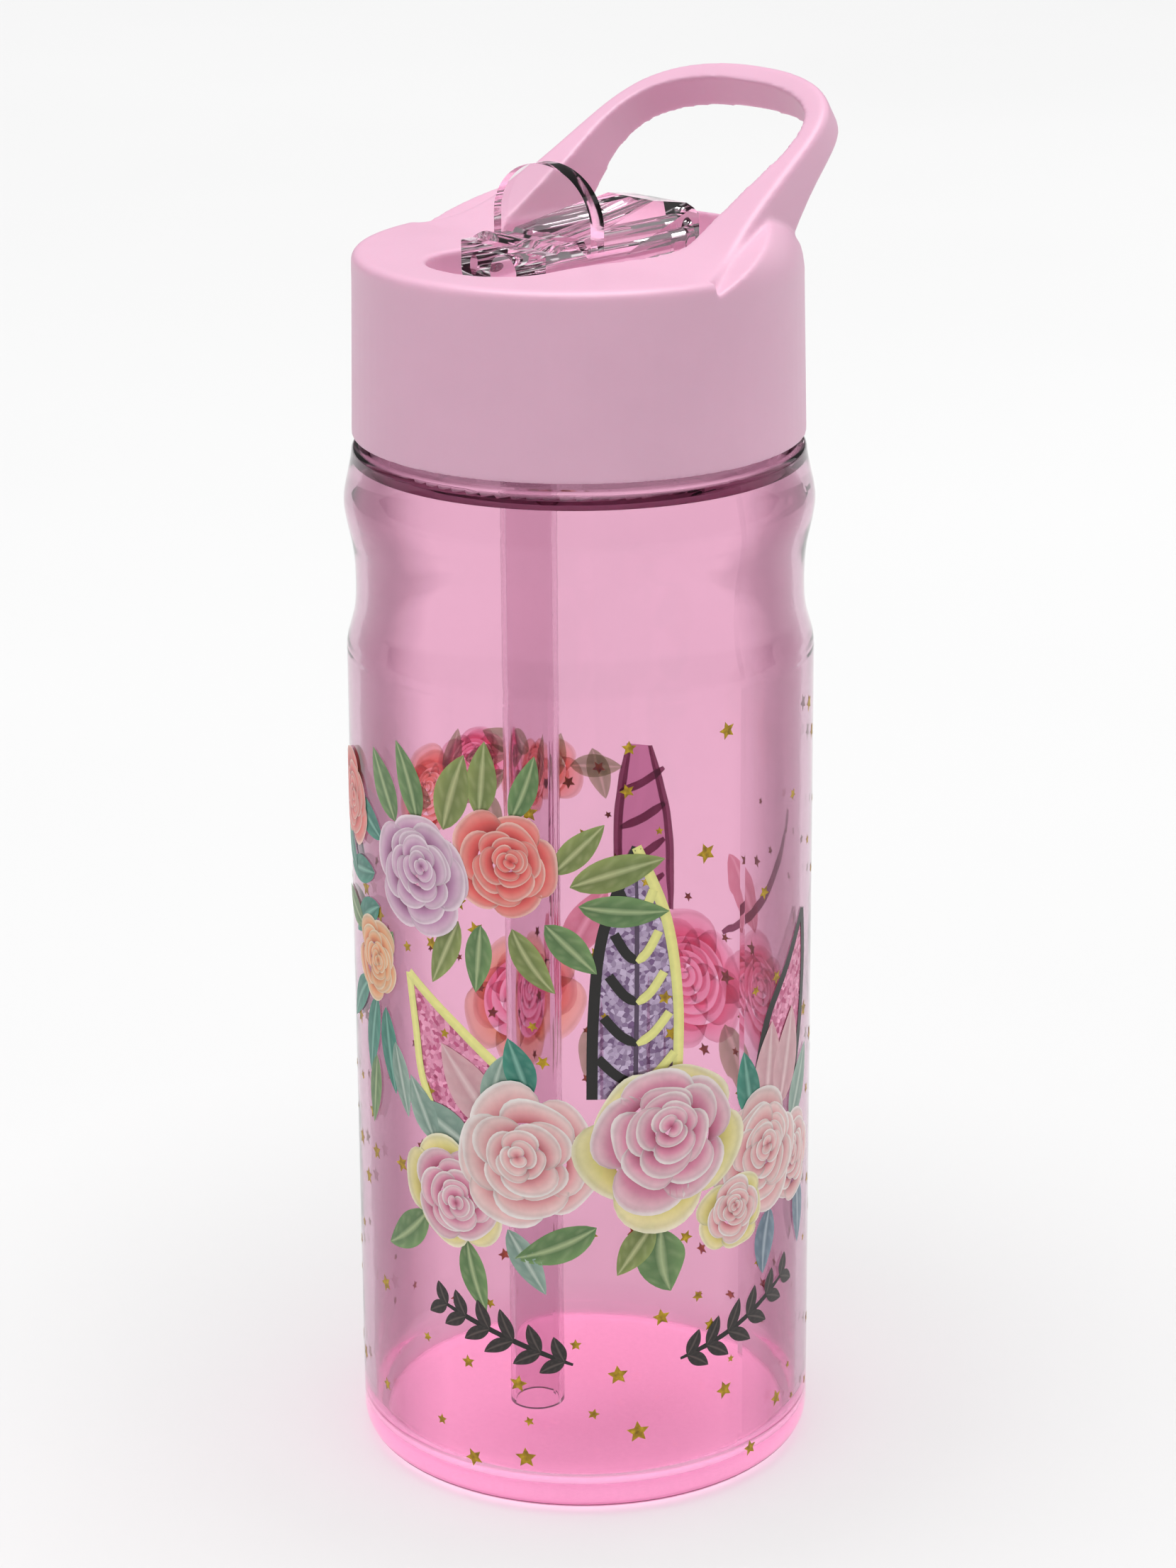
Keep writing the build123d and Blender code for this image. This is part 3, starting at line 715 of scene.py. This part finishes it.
def print_bouquet():
    """The band of roses round the front."""
    leaves = Print("bouquet_leaves", "ink", 31)
    leaves.lift = LEAVES_LEVEL * LAYER
    for angle, height, heading, length, width, shades, bend in (
        (26, 64, 128, 16, 7.5, PALE_PINK, 0),
        (20, 60, 150, 14, 6.5, SAGE, 10),
        (24, 66, 88, 11, 4.5, SAGE, -20),
        (34, 70, 110, 10, 5.0, TEAL, 0),
        (8, 60, 118, 11, 5.0, SAGE, 0),
        (5, 48, 235, 13, 5.5, GREEN, -25),
        (17, 45, 275, 12, 4.5, GREEN, 20),
        (28, 48, 300, 12, 4.5, SAGE, 0),
        (50, 49, 215, 14, 5.5, GREEN, -20),
        (66, 48, 262, 11, 8.0, GREEN, 30),
        (64, 49, 235, 10, 5.0, OLIVE, 0),
        (100, 46, 250, 11, 5.0, BLUE_GREY, 20),
        (114, 48, 285, 12, 4.5, BLUE_GREY, -20),
        (98, 62, 84, 15, 7.0, PALE_PINK, 0),
        (104, 62, 70, 16, 7.5, PALE_PINK, 10),
        (93, 62, 100, 12, 5.0, TEAL, 0),
        (110, 58, 60, 13, 6.0, SAGE, 0),
    ):
        draw_leaf(leaves, angle, height, heading, length, width, shades, bend)
    leaves.build()
    flowers = Print("bouquet", "ink", 32)
    flowers.lift = leaves.lift + LAYER
    draw_rose(flowers, 111, 52, 7.5, BLUSH, BLUSH, 2.0)
    draw_rose(flowers, 96, 56, 10.5, BLUSH, BLUSH, 0.5, ruffled=True)
    draw_rose(flowers, 86, 48, 6.5, BLUSH, GOLDEN, 1.0)
    draw_rose(flowers, 13.5, 52.5, 10.0, MAUVE, GOLDEN, 5.0)
    draw_rose(flowers, 34, 60, 12.0, BLUSH, BLUSH, 3.0)
    draw_rose(flowers, 67, 62.5, 14.0, MAUVE, GOLDEN, 1.2, ruffled=True)
    flowers.build()


def print_garland():
    """The trailing garland at the upper left."""
    leaves = Print("garland_leaves", "ink", 41)
    leaves.lift = LEAVES_LEVEL * LAYER
    for angle, height, heading, length, width, shades, bend in (
        (44, 104, 20, 15, 5.5, OLIVE, -10),
        (46, 101, -12, 14, 5.0, GREEN, 10),
        (40, 106, 45, 11, 4.5, OLIVE, 0),
        (38, 98, -45, 11, 5.0, GREEN, 0),
        (30, 97, -70, 12, 4.5, OLIVE, 25),
        (22, 97, -95, 11, 4.5, GREEN, 0),
        (16, 97, -115, 12, 4.5, OLIVE, 0),
        (30, 114, 62, 11, 4.0, GREEN, 15),
        (22, 114, 85, 12, 5.0, OLIVE, 0),
        (12, 111, 78, 13, 6.0, OLIVE, -10),
        (4, 111, 100, 13, 5.0, GREEN, 20),
        (-4, 110, 120, 12, 5.5, GREEN, 0),
        (-10, 106, 150, 13, 5.0, TEAL, 10),
        (-14, 100, 190, 12, 4.5, TEAL, 0),
        (-12, 95, 205, 12, 5.0, TEAL, 20),
        (-6, 92, 240, 13, 4.5, GREEN, 0),
        (-18, 82, 215, 13, 4.5, TEAL, 20),
        (-14, 80, 250, 14, 4.5, TEAL, 15),
        (-10, 79, 275, 14, 4.5, TEAL, 10),
        (-6, 74, 285, 12, 4.0, SAGE, 0),
        (-15, 70, 262, 12, 4.0, GREEN, 0),
        (-21, 90, 165, 12, 4.5, GREEN, 0),
        (-26, 98, 140, 12, 4.5, TEAL, 0),
        (-24, 106, 110, 12, 5.0, OLIVE, 0),
    ):
        draw_leaf(leaves, angle, height, heading, length, width, shades, bend)
    leaves.build()
    flowers = Print("garland", "ink", 42)
    flowers.lift = leaves.lift + LAYER
    draw_rose(flowers, -15, 86, 7.0, PEACH, PEACH, 0.0)
    draw_rose(flowers, -30, 110, 8.0, CORAL, CORAL, 0.0)
    draw_rose(flowers, 28, 107, 8.6, CORAL, CORAL, 0.5)
    draw_rose(flowers, 4, 103, 10.0, LILAC, LILAC, 1.0, ruffled=True)
    flowers.build()


def print_sprigs():
    """Two dark leafy sprigs under the bouquet."""
    art = Print("sprigs", "ink", 51)
    art.lift = SPRIGS_LEVEL * LAYER
    shades = (BLACK, srgb(52, 44, 42), srgb(104, 92, 86))
    pairs = 6
    for stem in ([(9, 33.5), (26, 30), (44, 26)], [(71, 25.5), (88, 28.5), (107, 33.5)]):
        draw_line(art, stem, 0.9, BLACK, (0.5, 0.5))
        curve = smooth_line([(along(a), h) for a, h in stem], 12)
        outward = 1 if stem[2][1] > stem[0][1] else -1
        if outward < 0:
            curve.reverse()
        for k in range(pairs):
            spot = int((0.10 + 0.86 * k / (pairs - 1)) * (len(curve) - 2))
            u, v = curve[spot]
            ahead = curve[spot + 1]
            course = degrees(atan2(ahead[1] - v, ahead[0] - u))
            size = 5.6 - 2.6 * abs(k / (pairs - 1) - 0.4)
            for side in (-1, 1):
                heading = course + side * 38
                draw_leaf(art, u / along(1), v, heading, size, 2.3, shades, side * 18)
    art.build()


# stars: lengths and heights in millimetres, angles in degrees round the bottle
STAR_COUNT = 190
STAR_GAP = 5.0            # least distance between a strewn star and any other
STAR_LOW = 7
STAR_HIGH = 100
STAR_HIGH_FRONT = 128     # they reach higher within the spread on either side of this angle
STAR_FRONT = 75
STAR_FRONT_SPREAD = 60


def print_stars():
    """Gold stars: a few that are placed, and the rest strewn between them."""
    art = Print("stars", "gold", 61)
    art.lift = 0.5 * LAYER
    placed = [
        (84, 126, 1.5),
        (78, 107.5, 1.7),
        (48, 112, 1.5),
        (60, 14, 1.9),
        (32, 9.5, 1.8),
        (18, 8, 1.6),
        (84, 18, 1.6),
        (93, 6, 1.4),
        (104, 12, 1.5),
        (55, 24, 1.7),
    ]
    for angle, height, radius in placed:
        draw_star(art, angle, height, radius, art.chance.uniform(0, 1.2))
    while len(placed) < STAR_COUNT:
        angle = art.chance.uniform(-180, 180)
        top = STAR_HIGH_FRONT if abs(angle - STAR_FRONT) < STAR_FRONT_SPREAD else STAR_HIGH
        height = art.chance.uniform(STAR_LOW, top)
        radius = art.chance.choice((0.7, 0.9, 1.0, 1.2, 1.5))
        gap = min(hypot(along(angle) - along(a), height - h) for a, h, _ in placed)
        if gap > STAR_GAP:
            draw_star(art, angle, height, radius, art.chance.uniform(0, 1.2))
            placed.append((angle, height, radius))
    art.build()


# ---- lid shell with softened edges ---------------------------------------------------------------
EDGE_VOXEL = 0.4 * MM     # size of the remeshed shell's cells
EDGE_PASSES = 6           # rounds of smoothing


def soft_copy(node, name, voxel, passes):
    """A copy of a CAD node with every edge slightly rounded, as a moulding has it."""
    source = NODES[node]
    obj = bpy.data.objects.new(name, source.data.copy())
    bpy.context.scene.collection.objects.link(obj)
    remesh = obj.modifiers.new("remesh", "REMESH")
    remesh.mode = "VOXEL"
    remesh.voxel_size = voxel
    smooth = obj.modifiers.new("smooth", "SMOOTH")
    smooth.factor = 0.5
    smooth.iterations = passes
    bpy.context.view_layer.objects.active = obj
    for modifier in ("remesh", "smooth"):
        bpy.ops.object.modifier_apply(modifier=modifier)
    shade_smooth(obj)
    return obj


# ---- floor, light and camera ---------------------------------------------------------------------
FLOOR_GAP = 0.15 * MM     # keeps the floor's face apart from the bottle's underside
FLOOR_HALF = 6.0
FLOOR_TONES = (0.69, 0.71)
OVERHEAD_PLACE = (0.1, -0.1, 2.0)
OVERHEAD_POWER = 3.45     # watts a square metre
OVERHEAD_SPREAD = 60.0    # degrees that the overhead light spans
# soft square lamps: name, place, what it looks at, and power in watts
SOFT_LAMPS = (
    ("side_lamp", (-0.15, -1.15, 0.55), (0, 0, 0.1), 0.7),
    ("back_lamp", (0.3, 1.2, 0.7), (0, 0, 0.15), 2.4),
)
LAMP_SIZE = 1.0
HORIZON_LIGHT = 0.14
ZENITH_LIGHT = 0.28


def aimed_lamp(name, kind, place, aim, power):
    """A lamp that looks from one place at another."""
    lamp = bpy.data.lights.new(name, kind)
    lamp.energy = power
    obj = bpy.data.objects.new(name, lamp)
    obj.location = place
    dx, dy, dz = (a - b for a, b in zip(aim, place))
    obj.rotation_euler = (pi / 2 + atan2(dz, hypot(dx, dy)), 0, atan2(dy, dx) - pi / 2)
    bpy.context.scene.collection.objects.link(obj)
    return lamp


def surround():
    """An even dome, dim at the horizon and brighter overhead."""
    world = bpy.data.worlds.new("surround")
    world.use_nodes = True
    nodes = world.node_tree.nodes
    links = world.node_tree.links
    place = nodes.new("ShaderNodeTexCoord")
    parts = nodes.new("ShaderNodeSeparateXYZ")
    links.new(place.outputs["Generated"], parts.inputs["Vector"])
    dim = (HORIZON_LIGHT,) * 3
    bright = (ZENITH_LIGHT,) * 3
    tones = [(0.0, dim), (1.0, bright)]
    links.new(add_ramp(nodes, links, parts.outputs["Z"], tones), nodes["Background"].inputs["Color"])
    bpy.context.scene.world = world


def studio():
    """Pale floor, one broad soft light overhead, and weak ones in front and behind."""
    half = FLOOR_HALF
    low = -FLOOR_GAP
    floor = new_object(
        "floor",
        [(-half, -half, low), (half, -half, low), (half, half, low), (-half, half, low)],
        [(0, 1, 2, 3)],
    )
    floor.data.materials.append(floor_material())
    surround()
    sky = aimed_lamp("overhead", "SUN", OVERHEAD_PLACE, (0, 0, 0), OVERHEAD_POWER)
    sky.angle = radians(OVERHEAD_SPREAD)
    for name, place, aim, power in SOFT_LAMPS:
        aimed_lamp(name, "AREA", place, aim, power).size = LAMP_SIZE


def camera():
    """The camera that the bottle is looked at with."""
    data = bpy.data.cameras.new("camera")
    data.sensor_fit = "VERTICAL"
    data.sensor_height = SENSOR_MM
    data.lens = CAMERA_LENS
    obj = bpy.data.objects.new("camera", data)
    azimuth = radians(CAMERA_AZIMUTH)
    obj.location = (CAMERA_DISTANCE * sin(azimuth), -CAMERA_DISTANCE * cos(azimuth), CAMERA_HEIGHT)
    obj.rotation_euler = [radians(a) for a in CAMERA_TURN]
    bpy.context.scene.collection.objects.link(obj)
    bpy.context.scene.camera = obj


# ---- assembly ------------------------------------------------------------------------------------
finish_node("bottle_body", "clear_pink")
finish_node("lid_liner", "liner")
finish_node("flip_spout", "clear_spout")
finish_node("drinking_straw", "clear_straw")
for node in ("spout_seal", "straw_connector", "lid_gasket", "vent_valve"):
    finish_node(node, "silicone")

lid = soft_copy("lid_shell", "lid_shell_form", EDGE_VOXEL, EDGE_PASSES)
lid.data.materials.clear()
lid.data.materials.append(MATERIALS["lid_pink"])
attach(lid, "lid")
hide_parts("lid_shell")

print_back()
print_stars()
print_leaf_blades()
print_garland()
print_bouquet()
print_sprigs()

studio()
camera()
bpy.context.scene.view_settings.view_transform = "Standard"
